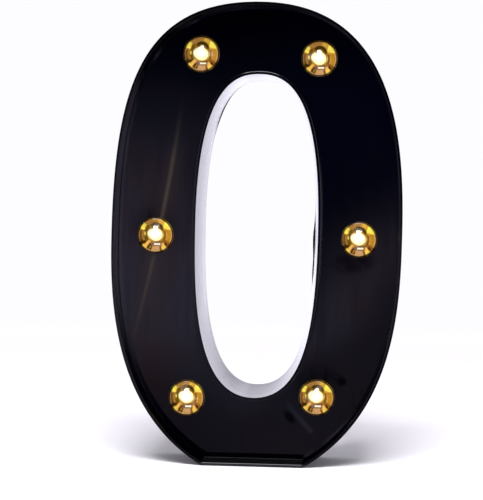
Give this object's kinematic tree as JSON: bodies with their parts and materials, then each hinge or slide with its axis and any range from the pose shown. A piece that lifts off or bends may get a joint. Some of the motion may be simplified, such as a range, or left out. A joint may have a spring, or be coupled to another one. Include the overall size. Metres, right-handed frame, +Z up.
{
  "type": "light up marquee number",
  "caption": "Battery-lit marquee figure zero: deep black shell with recessed face, domed amber lamps, counter hole, flat base, back cover with hinged battery door, slide switch and keyhole.",
  "frame": {"origin": "middle of the flat base, at table height, half way between the front and the back plane", "axes": "+Z up, the lamp face points to -Y, +X to the right when the front is looked at"},
  "size_m": [0.1376, 0.045, 0.22],
  "materials": {
    "shell_gloss": "polished black injection-moulded plastic",
    "cover_satin": "satin black moulded plastic",
    "lens_amber": "clear amber moulded plastic, polished",
    "reflector_gold": "vacuum-metallised gold",
    "led_warm": "warm-white light-emitting diode, lit",
    "circuit_board": "white solder mask",
    "wire_clear": "clear insulation over copper",
    "wire_red": "red insulation",
    "wire_black": "black insulation",
    "resistor_beige": "lacquered",
    "battery_sleeve": "plain printed sleeve, steel ends",
    "contact_nickel": "nickel plated",
    "switch_can": "tinned",
    "switch_plastic": "matt black",
    "screw_black": "black oxide"
  },
  "bodies": {
    "housing": {"front_shell": "shell_gloss", "back_cover": "cover_satin", "lamp_lens_1": "lens_amber", "lamp_lens_2": "lens_amber", "lamp_lens_3": "lens_amber", "lamp_lens_4": "lens_amber", "lamp_lens_5": "lens_amber", "lamp_lens_6": "lens_amber", "reflector_cup_1": "reflector_gold", "reflector_cup_2": "reflector_gold", "reflector_cup_3": "reflector_gold", "reflector_cup_4": "reflector_gold", "reflector_cup_5": "reflector_gold", "reflector_cup_6": "reflector_gold", "led_1": "led_warm", "led_2": "led_warm", "led_3": "led_warm", "led_4": "led_warm", "led_5": "led_warm", "led_6": "led_warm", "led_board_1": "circuit_board", "led_board_2": "circuit_board", "led_board_3": "circuit_board", "led_board_4": "circuit_board", "led_board_5": "circuit_board", "led_board_6": "circuit_board", "ribbon_wire_1": "wire_clear", "ribbon_wire_2": "wire_clear", "ribbon_wire_3": "wire_clear", "ribbon_wire_4": "wire_clear", "ribbon_wire_5": "wire_clear", "switch_lead": "wire_red", "resistor_lead": "wire_red", "lamp_lead_positive": "wire_red", "lamp_lead_negative": "wire_black", "series_resistor": "resistor_beige", "battery_1": "battery_sleeve", "battery_2": "battery_sleeve", "positive_contact": "contact_nickel", "negative_contact": "contact_nickel", "bridge_contact": "contact_nickel", "negative_spring": "contact_nickel", "bridge_spring": "contact_nickel", "switch_body": "switch_can", "cover_screw_1": "screw_black", "cover_screw_2": "screw_black", "cover_screw_3": "screw_black", "cover_screw_4": "screw_black", "cover_screw_5": "screw_black", "cover_screw_6": "screw_black"},
    "door": {"battery_door": "cover_satin"},
    "knob": {"switch_knob": "switch_plastic"}
  },
  "joints": [
    {"name": "battery_door_hinge", "type": "hinge", "parent": "housing", "child": "door", "pos_m": [0.0472, 0.021, 0.13415], "axis": [1, 0, 0], "range_deg": [0, 90]},
    {"name": "switch_slide", "type": "slide", "parent": "housing", "child": "knob", "axis": [1, 0, 0], "range_m": [0, 0.0025]}
  ]
}
